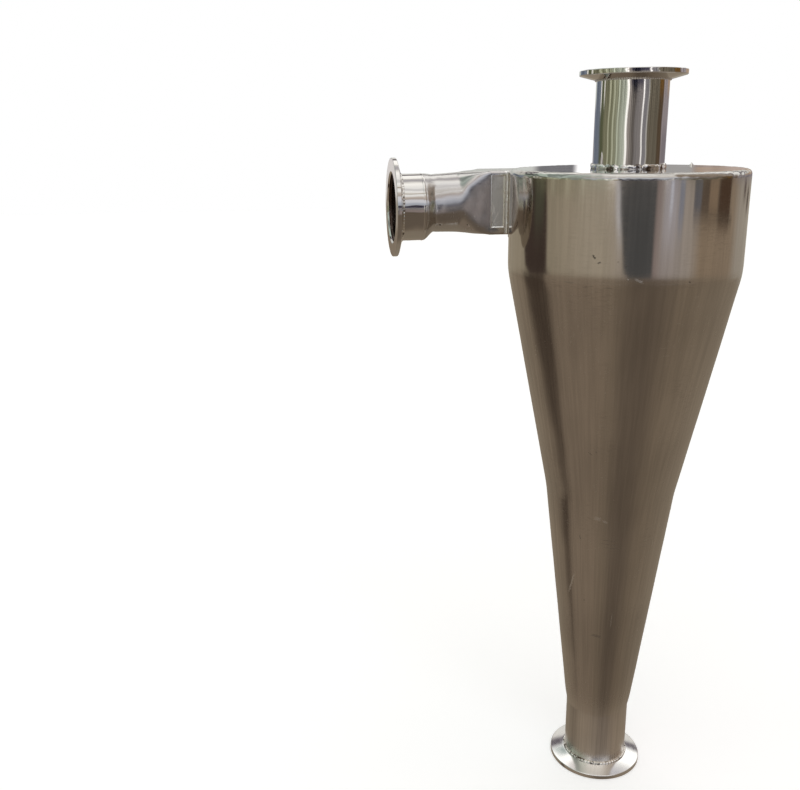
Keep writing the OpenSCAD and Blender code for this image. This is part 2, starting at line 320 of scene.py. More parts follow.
for row in (((0.27, 0.24, 0.26), (99, 170), (-2.6, 0), 3, 0.8),
            ((0.95, 0.93, 0.88), (-136, -132), (1.2, 12)),
            ((1.0, 0.97, 0.92), (-119.5, -115), (1.6, 12)),
            ((0.07, 0.065, 0.095), (-25, 12), (2.6, 12), 2, 0.4),
            ((0.02, 0.02, 0.035), (-19.5, -7), (2.1, 12), 2, 0.25),
            ((0.20, 0.11, 0.035), (73, 91), (2.0, 12))):
    room = card(room, azimuth, *row)
stripes = noise(add("Mapping", {"Vector": direction, "Scale": (38, 38, 2.5)}).outputs["Vector"])
contrast = calc("ADD", fade(elevation, -3.0, -2.2, 0.02, 0.26), fade(elevation, 0.3, 2.6, 0.0, 0.45))
room = shade(room, calc("MULTIPLY_ADD", fade(stripes, 0.32, 0.68, -1.0, 1.0), contrast, 1.0))

# %% [markdown]
# Overhead there are white lamps between beams. To the left the ceiling is greenish and dim,
# to the right it is brown; this shows in the rounded rim of the barrel.

# %% Ceiling
WHITE = (1, 1, 1)
LAMP = (1.5, 1.49, 1.46)
WIDE_LAMP = (1.25, 1.25, 1.25)
DIM_END = (0.25, 0.22, 0.20)
PALE_BEAM = (0.95, 0.94, 0.95)
BEAM = (0.62, 0.60, 0.63)
DARK_BEAM = (0.14, 0.12, 0.14)
lamps = ramp(overhead, [
    (0, DIM_END), (8, DIM_END), (9, (0.55, 0.58, 0.66)), (14, (0.62, 0.66, 0.76)), (20, (0.92, 0.94, 1.02)),
    (28, (0.95, 0.95, 1.02)), (31, (0.60, 0.53, 0.49)), (37, (0.78, 0.70, 0.64)), (42, WIDE_LAMP),
    (48, (1.2, 1.2, 1.2)), (50.5, (0.42, 0.34, 0.24)), (53, (1.15, 1.13, 1.1)), (61, (1.3, 1.3, 1.3)),
    (64, PALE_BEAM), (69, PALE_BEAM), (73, WIDE_LAMP), (90, LAMP), (97, (1.1, 1.08, 1.05)), (103, BEAM),
    (111, BEAM), (117, (0.9, 0.88, 0.85)), (122, LAMP), (140, LAMP), (145, DARK_BEAM), (151, DARK_BEAM),
    (155, (0.85, 0.82, 0.78)), (168, (0.8, 0.8, 0.76)), (180, (0.6, 0.58, 0.54))], start=0)
tinted = ramp(azimuth, [
    (-180, WHITE), (-152, (0.9, 0.9, 0.9)), (-140, (0.42, 0.50, 0.46)), (-65, (0.40, 0.46, 0.43)),
    (-50, (0.8, 0.8, 0.78)), (-36, (0.9, 0.9, 0.9)), (-33, (1.3, 1.3, 1.3)), (-29, (0.9, 0.9, 0.9)),
    (30, WHITE), (42, (0.34, 0.28, 0.23)), (95, (0.34, 0.29, 0.25)), (104, (0.8, 0.8, 0.82)), (140, WHITE),
    (180, WHITE)])
tinted = blend(fade(elevation, 50, 80), tinted, WHITE)
room = blend(fade(elevation, 7.2, 9.0), room, shade(lamps, tinted))

# %% Things behind the object, which the flat plate and the flanges mirror
for row in (((0.62, 0.64, 0.60), (-8, 16.2), (1.4, 9)),
            ((0.17, 0.17, 0.18), (16, 18.4), (1.4, 9), 0.3),
            ((1.5, 1.5, 1.5), (18.4, 20.8), (1.4, 9), 0.3),
            ((0.36, 0.35, 0.34), (20.8, 25.2), (1.4, 9), 0.3),
            ((0.48, 0.36, 0.27), (25.2, 62), (2.05, 9), 0.3),
            ((0.45, 0.52, 0.50), (-7, 3), (39, 49), 2, 2),
            ((0.86, 0.80, 0.78), (-8, 5), (57, 66), 2, 2),
            ((0.24, 0.19, 0.14), (-8.2, -6.2), (-9, -5.6), 0.3),
            ((0.36, 0.31, 0.26), (-8.2, -6.2), (-5.6, -3.9), 0.3),
            ((0.80, 0.76, 0.74), (-8.2, -6.2), (-3.9, -1), 0.3)):
    room = card(room, behind, *row)

# %% White for the camera, the room for the steel
camera_ray = add("LightPath").outputs["Is Camera Ray"]
background = add("Background", {"Color": blend(camera_ray, room, WHITE), "Strength": 1.0})
add("OutputWorld", {"Surface": background.outputs["Background"]})
bpy.context.scene.view_settings.view_transform = "Standard"
print("studio made of", len(bench.nodes), "nodes")

# %% [markdown]
# ## Floor
# The floor is a plain pale sheet that meets the white of the background without a line. It
# shines a little by itself, like a light table, so that only a soft shadow stays under the
# flange. The steel doesn't mirror it, because the room's own floor is already in the studio.

# %% Pale floor
def start_from(add_primitive, name, **settings):
    """Adds a primitive by its operator, with nothing else selected, and names it"""
    bpy.ops.object.select_all(action="DESELECT")
    add_primitive(**settings)
    piece = bpy.context.object
    piece.name = piece.data.name = name
    return piece


floor = start_from(bpy.ops.mesh.primitive_plane_add, "floor", size=12, location=(0, 0, -0.2 * MM))
floor.visible_glossy = False
paper = bpy.data.materials.new("pale floor")
paper.use_nodes = True
for name, value in (("Base Color", (0.85, 0.85, 0.85, 1)), ("Roughness", 0.9), ("Specular IOR Level", 0.0),
                    ("Emission Color", (1, 1, 1, 1)), ("Emission Strength", 0.38)):
    paper.node_tree.nodes["Principled BSDF"].inputs[name].default_value = value
floor.data.materials.append(paper)
print("floor laid")

# %% [markdown]
# ## Steel finishes
# All finishes are one metal treated in different ways: satin on the cones, finer on the
# barrel, nearly a mirror on the pipes and flanges, frosted where a grinding disc has been.
# Some also carry painted light: the ground strips and the lower flange are made paler as
# painted highlight, the cones turn paler towards the dust pipe as painted light, one dent is
# a painted highlight beside painted shade, and the inlet's inside is darkened as painted shade.
# What they share is built once as node groups: coordinates that follow a turned surface, the
# fine hairlines that a belt leaves, cloudy stains, and the scuffs of handling.

# %% Group: coordinates that follow a turned surface
def new_group(name, numbers, outputs, kind="Float"):
    """An empty group that takes a position and some numbers, and the insides of its two ends"""
    group = bpy.data.node_groups.new(name, "ShaderNodeTree")
    work_on(group)
    group.interface.new_socket("Position", in_out="INPUT", socket_type="NodeSocketVector")
    for label, default in numbers.items():
        socket = group.interface.new_socket(label, in_out="INPUT", socket_type="NodeSocketFloat")
        socket.default_value = default
    for label in outputs:
        group.interface.new_socket(label, in_out="OUTPUT", socket_type="NodeSocket" + kind)
    return group, group.nodes.new("NodeGroupInput").outputs, group.nodes.new("NodeGroupOutput").inputs


turned_space, given, result = new_group("turned coordinates", {"Around": 40.0, "Along": 40.0}, ["Position"],
                                        kind="Vector")
place = add("SeparateXYZ", {"Vector": given["Position"]}).outputs
square = calc("MULTIPLY_ADD", place["X"], place["X"], times(place["Y"], place["Y"]))
across = calc("DIVIDE", given["Around"], calc("MAXIMUM", calc("SQRT", square), 0.001))
joined = add("CombineXYZ", {"X": times(place["X"], across), "Y": times(place["Y"], across),
                            "Z": times(place["Z"], given["Along"])})
plug(joined.outputs["Vector"], result["Position"])

# %% Group: cloudy stains
stains, given, result = new_group("stains", {"Scale": 30.0, "Spread": 0.5}, ["Mask", "Haze"])
cloud = noise(given["Position"], given["Scale"], detail=4.0, roughness=0.62)
edge = calc("SUBTRACT", 0.78, times(given["Spread"], 0.3))
plug(fade(cloud, edge, calc("ADD", edge, 0.12)), result["Mask"])
plug(noise(given["Position"], times(given["Scale"], 0.35)), result["Haze"])

# %% Group: handling marks, as short fine scratches and small pits
marks, given, result = new_group("handling marks", {"Amount": 0.5}, ["Scratches", "Pits"])
scratches = 0.0
for turn_by, scale in ((0.5, (40, 900, 700)), (1.9, (500, 60, 900)), (2.6, (900, 700, 70))):
    rotated = add("Mapping", {"Vector": given["Position"], "Scale": scale,
                              "Rotation": (turn_by, turn_by * 0.7, turn_by)}).outputs["Vector"]
    scratches = calc("MAXIMUM", scratches, fade(noise(rotated, detail=1.0), 0.71, 0.76))
some = fade(noise(given["Position"], 25.0, detail=1.0), 0.48, 0.64)
plug(times(times(scratches, some), given["Amount"]), result["Scratches"])
cells = add("TexVoronoi", {"Vector": given["Position"], "Scale": 90.0, "Randomness": 1.0}).outputs
chosen = add("SeparateColor", {"Color": cells["Color"]}).outputs["Red"]
pit = times(fade(cells["Distance"], 0.09, 0.03), fade(chosen, 0.955, 0.965))
plug(times(pit, given["Amount"]), result["Pits"])

# %% Group: hairlines round the axis, in patches
hairlines, given, result = new_group("hairlines", {}, ["Mask"])
rings = use(turned_space, position=given["Position"], around=12.0, along=1100.0)["Position"]
patch = fade(noise(given["Position"], 22.0), 0.50, 0.66)
plug(times(fade(noise(rings), 0.50, 0.66), patch), result["Mask"])

# %% Group: one mark at a given place on the front
placed_mark, given, result = new_group("placed mark", {
    "X": 0.0, "Z": 0.0, "Half length": 0.002, "Half width": 0.0004, "Lean": 0.0, "Behind": 0.0,
    "Jitter": 0.0}, ["Mask"])
place = add("SeparateXYZ", {"Vector": given["Position"]}).outputs
jitter = times(given["Jitter"], given["Half width"])
aside = calc("ADD", calc("SUBTRACT", place["X"], given["X"]), jitter)
above = calc("SUBTRACT", place["Z"], given["Z"])
cosine, sine = calc("COSINE", given["Lean"]), calc("SINE", given["Lean"])
wide = calc("ADD", times(aside, cosine), times(above, sine))
tall = calc("SUBTRACT", times(above, cosine), times(aside, sine))
wide = calc("DIVIDE", calc("ABSOLUTE", wide), given["Half width"])
tall = calc("DIVIDE", calc("ABSOLUTE", tall), given["Half length"])
inside = times(fade(wide, 1.0, 0.35), fade(tall, 1.0, 0.5))
plug(times(inside, calc("LESS_THAN", place["Y"], given["Behind"])), result["Mask"])
print("node groups:", [g.name for g in bpy.data.node_groups])


# %% [markdown]
# One function makes each finish from the shared groups, so that the finishes differ only in
# their values: how rough the metal is, how fine its lines are and which way they run, how
# much it is stained, and how deep its lines and waves are. Bands by height can also make the
# colour paler, which is painted light. A list of placed marks adds the scuffs and pits that
# can be pointed at, dark where their strength is below zero, and the painted highlight and
# painted shade of one dent. Marks of all kinds only change colour and gloss; the relief
# comes from the lines and the waves.

# %% A worked steel finish
PIT = (0.10, 0.08, 0.07)
SCRATCH = (0.86, 0.85, 0.83)
# Bright and dark marks: real scuffs and pits, and for one dent a painted highlight and painted shade.
BRIGHT_SCUFF_AND_DENT_HIGHLIGHT = (0.95, 0.94, 0.92)
DARK_SCUFF_AND_DENT_SHADE = (0.07, 0.055, 0.045)


def steel(name, colour, roughness, lines, line_depth, streak=0.0, hairline=0.0, stain=0.3, stain_colour=None,
          stain_scale=30.0, marking=0.3, haze=0.2, turned=True, wave=0.0, wave_scale=60.0, placed=(),
          behind=0.0, duller=(), painted_paler_bands=()):
    """Makes a steel finish; lines says how often they change round and along the axis, or on X, Y and Z"""
    material = bpy.data.materials.new(name)
    material.use_nodes = True
    work_on(material.node_tree)
    position = add("TexCoord").outputs["Object"]
    if turned:
        space = use(turned_space, position=position, around=lines[0], along=lines[1])["Position"]
    else:
        space = add("Mapping", {"Vector": position, "Scale": lines}).outputs["Vector"]
    fine = noise(space, detail=3.0, roughness=0.7)
    clouds = use(stains, position=position, scale=stain_scale, spread=stain)
    worn = use(marks, position=position, amount=marking)
    tint = blend(clouds["Mask"], colour, stain_colour or tuple(c * 0.70 for c in colour))
    tint = shade(tint, fade(clouds["Haze"], 0.3, 0.7, 1 - haze * 0.4, 1.0))
    rough = calc("MULTIPLY_ADD", fade(fine, 0.3, 0.7, -0.25, 0.25), roughness, roughness)
    rough = calc("MULTIPLY_ADD", clouds["Mask"], 0.08, rough)
    rough = calc("MULTIPLY_ADD", clouds["Haze"], haze * 0.08, rough)
    if streak:
        upright = use(turned_space, position=position, around=5.0, along=3.0)["Position"]
        streaks = noise(upright, 5.0, detail=3.0, roughness=0.6)
        tint = shade(tint, fade(streaks, 0.3, 0.7, 1 - streak, 1 + streak))
    if hairline:
        hair = times(use(hairlines, position=position)["Mask"], hairline)
        tint = blend(hair, tint, tuple(c * 0.55 for c in colour))
        rough = calc("MULTIPLY_ADD", hair, 0.12, rough)
    tint = blend(worn["Pits"], tint, PIT)
    tint = blend(times(worn["Scratches"], 0.5), tint, SCRATCH)
    rough = calc("MULTIPLY_ADD", worn["Scratches"], 0.15, rough)
    height_up = add("SeparateXYZ", {"Vector": position}).outputs["Z"]
    for start, end, change in duller:
        rough = calc("ADD", rough, fade(height_up, start, end, 0.0, change))
    # Painted light: bands by height make the colour paler.
    for start, end, change in painted_paler_bands:
        tint = shade(tint, fade(height_up, start, end, 1.0, change))
    if placed:
        jitter = calc("MULTIPLY_ADD", noise(position, 900.0, detail=1.0), 3.0, -1.5)
    for x, z, half_length, half_width, lean, strength in placed:
        spot = use(placed_mark, position=position, x=x * MM, z=z * MM, half_length=half_length * MM,
                   half_width=half_width * MM, lean=math.radians(lean), behind=behind, jitter=jitter)["Mask"]
        tint = blend(times(spot, abs(strength)), tint, BRIGHT_SCUFF_AND_DENT_HIGHLIGHT if strength > 0 else DARK_SCUFF_AND_DENT_SHADE)
        rough = calc("MULTIPLY_ADD", spot, 0.2, rough)
    relief = times(fine, line_depth)
    if wave:
        relief = calc("MULTIPLY_ADD", noise(position, wave_scale, detail=1.0), wave, relief)
    bump = add("Bump", {"Height": relief, "Strength": 1.0, "Distance": MM}).outputs["Normal"]
    surface = add("BsdfPrincipled", {"Base Color": tint, "Metallic": 1.0, "Roughness": rough, "Normal": bump})
    add("OutputMaterial", {"Surface": surface.outputs["BSDF"]})
    print("finish:", name)
    return material


# %% Marks that can be pointed at
# Each has its X, Z, half length and half width in millimetres, its lean in degrees, and its strength.
BARREL_MARKS = [
    (-47.4, 443.1, 1.9, 0.75, 35, -0.75), (-44.5, 439.3, 1.2, 0.8, -60, -0.7),
    (-28.7, 437.9, 0.5, 0.5, 0, -0.6), (14.7, 426.5, 1.0, 0.6, 70, -0.7), (-20.2, 428.2, 3.6, 1.2, 66, 0.4),
    (-32.6, 424.5, 5.0, 0.5, 90, 0.25), (-27.0, 429.0, 0.7, 0.4, 10, 0.5)]
CONE_MARKS = [
    (-24.0, 241.1, 2.8, 2.2, 80, 0.2), (-19.2, 239.2, 2.2, 1.4, 60, 0.24),
    (-35.1, 177.6, 12.0, 0.45, -4, 0.5), (-6.5, 149.7, 8.6, 0.3, -1, 0.4),
    (-33.7, 222.1, 2.6, 0.5, 10, -0.35), (-26.8, 165.7, 1.6, 0.4, 15, -0.4),
    (-34.8, 296.0, 2.0, 0.4, 50, -0.3), (-31.5, 298.0, 1.2, 0.5, 0, -0.25),
    (-14.0, 219.5, 9.0, 0.25, 84, -0.3), (-12.0, 216.5, 8.0, 0.25, 88, -0.3),
    (-15.0, 223.0, 7.0, 0.25, 86, -0.3), (-16.0, 134.0, 4.0, 1.6, 80, -0.25)]
FIELD_MARKS = [
    (-92.0, 462.0, 9.0, 0.6, -18, 0.95), (-89.5, 459.0, 8.0, 0.55, -25, 0.95),
    (-90.8, 468.0, 6.0, 0.5, 12, 0.9), (-88.0, 456.5, 5.0, 0.35, -60, 0.6),
    (-91.5, 457.0, 3.0, 0.3, 30, -0.4), (-86.0, 465.0, 7.0, 0.25, -15, 0.4)]
# The ding near x -110 mm is a bright mark beside a dark one: a painted highlight and painted shade of a dent
# with no hollow modelled.
DUCT_MARKS = [
    (-131.2, 455.5, 0.7, 0.7, 0, -0.8), (-109.6, 454.7, 1.3, 0.6, 40, 0.6),
    (-110.6, 455.4, 1.0, 0.5, 40, -0.6)]

# %% Finishes of what is turned
BARE_STEEL = (0.60, 0.56, 0.51)
DULL_END = DUST_TOP + 30 * MM
barrel_steel = steel("barrel steel", BARE_STEEL, 0.072, lines=(9, 1400), line_depth=0.0015, streak=0.05,
                     hairline=0.1, stain=0.2, marking=0.25, haze=0.25, placed=BARREL_MARKS,
                     duller=[(SHOULDER_Z + 14 * MM, SHOULDER_Z, 0.08)])
# Towards the dust pipe the cone finish turns rougher, and its colour 1.36 times paler as painted light.
cone_steel = steel("cone steel", BARE_STEEL, 0.19, lines=(90, 25), line_depth=0.004, streak=0.07,
                   hairline=0.22, stain=0.25, marking=0.4, haze=0.42, placed=CONE_MARKS,
                   duller=[(SHOULDER_Z - 14 * MM, SHOULDER_Z, -0.04), (DULL_END, DUST_TOP - 10 * MM, 0.2),
                           (24 * MM, 9 * MM, -0.16)], painted_paler_bands=[(DULL_END, DUST_TOP - 16 * MM, 1.36)])
pipe_steel = steel("pipe steel", (0.66, 0.64, 0.61), 0.035, lines=(5, 1200), line_depth=0.001, hairline=0.3,
                   stain=0.2)
flange_steel = steel("flange steel", (0.68, 0.66, 0.63), 0.04, lines=(5, 1500), line_depth=0.001, stain=0.35,
                     stain_scale=90.0)
# The lower flange has the flange finish made rougher and paler; the paler colour is a painted highlight.
foot_steel_painted_paler = steel("lower flange steel painted paler", (0.82, 0.81, 0.79), 0.12, lines=(5, 1500), line_depth=0.001,
                   stain_scale=90.0)
rim_steel = steel("rim steel", (0.62, 0.60, 0.56), 0.13, lines=(20, 900), line_depth=0.004, stain=0.4,
                  stain_scale=80.0, marking=0.6, haze=0.3, wave=0.08, wave_scale=180.0)
seam_steel = steel("ground seam steel", BARE_STEEL, 0.15, lines=(6, 1500), line_depth=0.006, streak=0.05,
                   hairline=0.5, stain_scale=60.0, marking=0.6, haze=0.4)

# %% Finishes of flat plates, ground strips with painted highlight, beads, and the inlet's inside with painted shade
duct_steel = steel("duct steel", (0.61, 0.59, 0.57), 0.19, lines=(60, 60, 900), line_depth=0.003, stain=0.45,
                   marking=0.4, haze=0.35, turned=False, placed=DUCT_MARKS, behind=0.045, wave=0.02,
                   wave_scale=110.0)
plate_steel = steel("plate steel", (0.60, 0.57, 0.53), 0.05, lines=(60, 900, 60), line_depth=0.0015,
                    marking=0.4, haze=0.3, turned=False)
sanded_steel = steel("sanded steel", (0.80, 0.80, 0.79), 0.52, lines=(700, 700, 120), line_depth=0.03,
                     stain=0.4, marking=1.0, haze=0.4, turned=False, placed=FIELD_MARKS, behind=0.045)
# The frame strip and the ground border get near-white colours: painted highlight, on a rougher ground finish.
frame_steel_painted_highlight = steel("ground frame steel with painted highlight", (0.97, 0.96, 0.94), 0.48, lines=(500, 500, 90), line_depth=0.02,
                    stain=0.4, marking=0.8, haze=0.4, turned=False)
edge_steel_painted_highlight = steel("ground edge steel with painted highlight", (0.95, 0.95, 0.94), 0.28, lines=(500, 500, 90), line_depth=0.03,
                   stain=0.2, turned=False)
# The inside of the inlet gets a dark brown colour: painted shade in the bore, on a rougher unpolished finish.
inside_painted_shade_steel = steel("unpolished inside, painted shade", (0.17, 0.12, 0.10), 0.25, lines=(300, 60, 60), line_depth=0.03,
                     stain=0.6, marking=0.6, haze=0.6, turned=False, wave=0.25, wave_scale=260.0)
bead_steel = steel("weld bead steel", (0.90, 0.88, 0.84), 0.05, lines=(300, 300, 300), line_depth=0.03,
                   stain=0.95, stain_scale=190.0, stain_colour=(0.13, 0.10, 0.08), marking=0.2, haze=0.3,
                   turned=False)


# %% [markdown]
# ## Turning
# A lathe-like shape is drawn as a chain of points beside its axis. One point is placed and
# extruded again and again along the outline, the last is joined to the first, and the chain
# is spun round the axis. The spin leaves its first and last ring on top of each other and may
# turn the shape inside out, so doubles are merged and the normals recalculated.

# %% Spin a closed outline round an axis
UPRIGHT = ((0, 0, 0), (0, 0, 1))
ON_INLET = ((0, INLET_Y, INLET_Z), (1, 0, 0))


def only(piece):
    """Selects one piece and makes it active"""
    bpy.ops.object.select_all(action="DESELECT")
    piece.select_set(True)
    bpy.context.view_layer.objects.active = piece


def edit(on=True):
    """Goes into edit mode, or out of it"""
    bpy.ops.object.mode_set(mode="EDIT" if on else "OBJECT")


def select(action="SELECT"):
    """Selects or deselects everything in edit mode"""
    bpy.ops.mesh.select_all(action=action)


def draw_outline(name, points):
    """A closed chain of edges through the given points, left in edit mode"""
    piece = start_from(bpy.ops.mesh.primitive_plane_add, name, size=MM, location=(0, 0, 0))
    edit()
    bpy.ops.mesh.select_mode(type="VERT")
    bpy.ops.mesh.merge(type="CENTER")
    bpy.ops.transform.translate(value=points[0])
    for here, there in zip(points, points[1:]):
        bpy.ops.mesh.extrude_vertices_move(TRANSFORM_OT_translate={"value": there - here})
    select()
    bpy.ops.mesh.edge_face_add()
    bpy.ops.mesh.delete(type="ONLY_FACE")
    return piece


def turn(name, outline, axis=UPRIGHT, steps=256, finer=None):
    """Spins an outline of (radius, place along the axis) points; its longest sides are cut up to finer"""
    if axis is ON_INLET:
        points = [Vector((x, INLET_Y + r, INLET_Z)) for r, x in outline]
    else:
        points = [Vector(axis[0]) + Vector((r, 0, z)) for r, z in outline]
    piece = draw_outline(name, points)
    if finer:
        select("DESELECT")
        edit(False)
        longest = max((b - a).length for a, b in zip(points, points[1:]))
        for chain in piece.data.edges:
            one, other = (piece.data.vertices[i].co for i in chain.vertices)
            chain.select = (other - one).length > longest * 0.8
        edit()
        bpy.ops.mesh.subdivide(number_cuts=int(longest / finer))
    select()
    bpy.ops.mesh.spin(steps=steps, angle=2 * math.pi, center=axis[0], axis=axis[1])
    select()
    bpy.ops.mesh.remove_doubles(threshold=MM / 1000)
    bpy.ops.mesh.normals_make_consistent(inside=False)
    edit(False)
    return piece


# %% Finishing steps that every piece goes through
def modify(piece, name, kind, **settings):
    """Adds a modifier with the given settings and applies it"""
    only(piece)
    modifier = piece.modifiers.new(name, kind)
    for setting, value in settings.items():
        setattr(modifier, setting, value)
    bpy.ops.object.modifier_apply(modifier=modifier.name)


def round_edges(piece, width, angle=28):
    """Takes the sharpness off every edge, as a file does"""
    modify(piece, "filed edges", "BEVEL", width=width, segments=2, limit_method="ANGLE",
           angle_limit=math.radians(angle))


def smooth(piece, sharp_angle=None):
    """Smooth shading whose flat faces stay flat"""
    only(piece)
    if sharp_angle:
        bpy.ops.object.shade_smooth_by_angle(angle=math.radians(sharp_angle))
    else:
        bpy.ops.object.shade_smooth()
    modify(piece, "flat faces stay flat", "WEIGHTED_NORMAL", keep_sharp=True)


def make_uneven(piece, depth, grain, strength_at):
    """Presses slight hollows and swellings into a piece; strength_at gives 0 to 1 at a point"""
    group = piece.vertex_groups.new(name="soft")
    for vertex in piece.data.vertices:
        group.add([vertex.index], strength_at(vertex.co), "REPLACE")
    clouds = bpy.data.textures.new(piece.name + " clouds", "CLOUDS")
    clouds.noise_scale = grain
    clouds.noise_depth = 1
    modify(piece, "uneven", "DISPLACE", texture=clouds, strength=depth, mid_level=0.5,
           vertex_group=group.name)
    piece.vertex_groups.clear()


def between(value, low, high, edge):
    """1 well inside low and high, fading to 0 at both ends over the given edge"""
    inside = max(0.0, min(value - low, high - value, edge)) / edge
    return inside * inside * (3 - 2 * inside)


def hand_over(piece, material, node):
    """The finished piece rides on the fixed body, stands for its node and takes its finish"""
    piece.data.materials.clear()
    piece.data.materials.append(material)
    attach(piece, "root")
    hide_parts(node)
    print(piece.name, len(piece.data.polygons), "faces")


# %% [markdown]
# ## Barrel and cones
# The barrel and both cones are rolled from 2 mm sheet. The welds between them were ground
# until only a soft bend is left, so all three follow one outline: straight lines that are
# joined by short curves. Each piece is spun from its own part of that outline, cut up finely
# along its height. Rolled sheet is never quite true, and a very slight unevenness makes the
# mirrored room waver as it does on the real one.

# %% Outline of the rolled body
LOWER_SLOPE = (WAIST_R - CONE_END_R) / (WAIST_Z - DUST_TOP)
UPPER_SLOPE = (BARREL_R - WAIST_R) / (SHOULDER_Z - WAIST_Z)
BEND = 7 * MM
NECK = 14 * MM
NECK_DRAW = 0.6 * MM


def body_radius(z):
    """Outer radius of the cones and the barrel at a height"""
    for corner_z, corner_r, below, above in ((WAIST_Z, WAIST_R, LOWER_SLOPE, UPPER_SLOPE),
                                             (SHOULDER_Z, BARREL_R, UPPER_SLOPE, 0.0)):
        run = z - corner_z + BEND
        if 0 < run < 2 * BEND:
            return corner_r - BEND * below + below * run + (above - below) * run ** 2 / (4 * BEND)
    if z < WAIST_Z:
        draw_in = max(0.0, 1 - (z - DUST_TOP) / NECK)
        return CONE_END_R + LOWER_SLOPE * (z - DUST_TOP) - NECK_DRAW * draw_in ** 2
    return WAIST_R + UPPER_SLOPE * (z - WAIST_Z) if z < SHOULDER_Z else BARREL_R


def heights(start, end, step):
    """Evenly spaced heights from start to end"""
    count = max(1, round((end - start) / step))
    return [start + (end - start) * i / count for i in range(count + 1)]


def rolled(name, start, end, slope, depth, grain):
    """A rolled sheet between two heights, with its wall measured across the sheet"""
    wall = SHELL_T * math.sqrt(1 + slope ** 2)
    outline = [(body_radius(z), z) for z in heights(start, end, 3 * MM)]
    outline += [(outline[-1][0] - wall, end), (outline[0][0] - wall, start)]
    piece = turn(name, outline)
    make_uneven(piece, depth, grain, lambda co: between(co.z, start, end, 14 * MM))
    return piece


# %% Cones
for node, start, end, slope, grain in (("upper_cone", WAIST_Z, SHOULDER_Z, UPPER_SLOPE, 0.05),
                                       ("lower_cone", DUST_TOP, WAIST_Z, LOWER_SLOPE, 0.04)):
    cone = rolled(node + "_sheet", start, end, slope, 0.35 * MM, grain)
    smooth(cone, 30)
    hand_over(cone, cone_steel, node)


# %% Barrel with the opening for the duct
def cut(piece, cutter):
    """Cuts a piece with another one, which is then thrown away"""
    modify(piece, "cut", "BOOLEAN", object=cutter, operation="DIFFERENCE", solver="EXACT")
    bpy.data.objects.remove(cutter)


def block(name, low, high):
    """A cube primitive brought to the given corners"""
    low, high = Vector(low), Vector(high)
    piece = start_from(bpy.ops.mesh.primitive_cube_add, name, size=1, location=(low + high) / 2,
                       scale=high - low)
    bpy.ops.object.transform_apply(location=True, rotation=True, scale=True)
    return piece


def duct_passage(high):
    """The space that the duct takes up in the barrel's wall"""
    return block("passage", (-BARREL_R - 2 * MM, DUCT_Y, DUCT_Z), (TANGENT_X, BARREL_R + 2 * MM, high))


barrel = rolled("barrel_sheet", SHOULDER_Z, BARREL_TOP, 0.0, 0.2 * MM, 0.06)
cut(barrel, duct_passage(BARREL_TOP + 2 * MM))
smooth(barrel, 30)
hand_over(barrel, barrel_steel, "barrel")

# %% [markdown]
# ## Seams
# What is left of each weld is a band over the bend, a few hundredths of a millimetre proud.
# It is spun like the sheets, from the same outline. The one at the waist was ground together
# with the cones and has their finish, and the one at the shoulder has its own.

# %% Ground seams round the body
SEAM_REACH = 2.4 * MM
SEAM_PROUD = 0.04 * MM
SEAM_SINK = 0.03 * MM
SEAM_DEPTH = 0.4 * MM


def ground_seam(name, node, z, material):
    """A thin band over the bend between two sheets"""
    outline = [(body_radius(z) - SEAM_DEPTH, z - SEAM_REACH)]
    for at in heights(z - SEAM_REACH, z + SEAM_REACH, 0.6 * MM):
        swell = math.cos((at - z) / SEAM_REACH * math.pi / 2)
        outline.append((body_radius(at) - SEAM_SINK + SEAM_PROUD * swell, at))
    outline.append((body_radius(z) - SEAM_DEPTH, z + SEAM_REACH))
    piece = turn(name, outline)
    make_uneven(piece, 0.03 * MM, 0.012, lambda co: between(co.z, z - SEAM_REACH, z + SEAM_REACH, SEAM_REACH))
    smooth(piece)
    hand_over(piece, material, node)


ground_seam("waist_seam", "waist_weld", WAIST_Z, cone_steel)
ground_seam("shoulder_seam", "shoulder_weld", SHOULDER_Z, seam_steel)

# %% Seam between the lower cone and the dust pipe
NECK_R = body_radius(DUST_TOP)
JOINT_H = 2.2 * MM
JOINT_R = PIPE_R - 0.3 * MM
joint_outline = [(JOINT_R, DUST_TOP - JOINT_H), (PIPE_R, DUST_TOP - JOINT_H)]
for i in range(1, 7):
    joint_outline.append((PIPE_R + (NECK_R - PIPE_R) * (i / 6) ** 2, DUST_TOP - JOINT_H * (1 - i / 6)))
joint = turn("dust_pipe_joint", joint_outline + [(JOINT_R, DUST_TOP)])
smooth(joint, 60)
hand_over(joint, cone_steel, "dust_pipe_weld")

# %% [markdown]
# ## Top plate and its ground rim
# The plate is a flat ring. The corner between plate and barrel is filled with weld and ground
# to a round, by hand, so it carries small flats, dimples and bright spots.

# %% Plate
plate = turn("top_plate_sheet", [(PIPE_R, PLATE_Z), (PLATE_R, PLATE_Z), (PLATE_R, TOP_Z), (PIPE_R, TOP_Z)],
             finer=3 * MM)
make_uneven(plate, 0.10 * MM, 0.035, lambda co: between(math.hypot(co.x, co.y), PIPE_R, PLATE_R, 12 * MM))
smooth(plate, 30)
hand_over(plate, plate_steel, "top_plate")

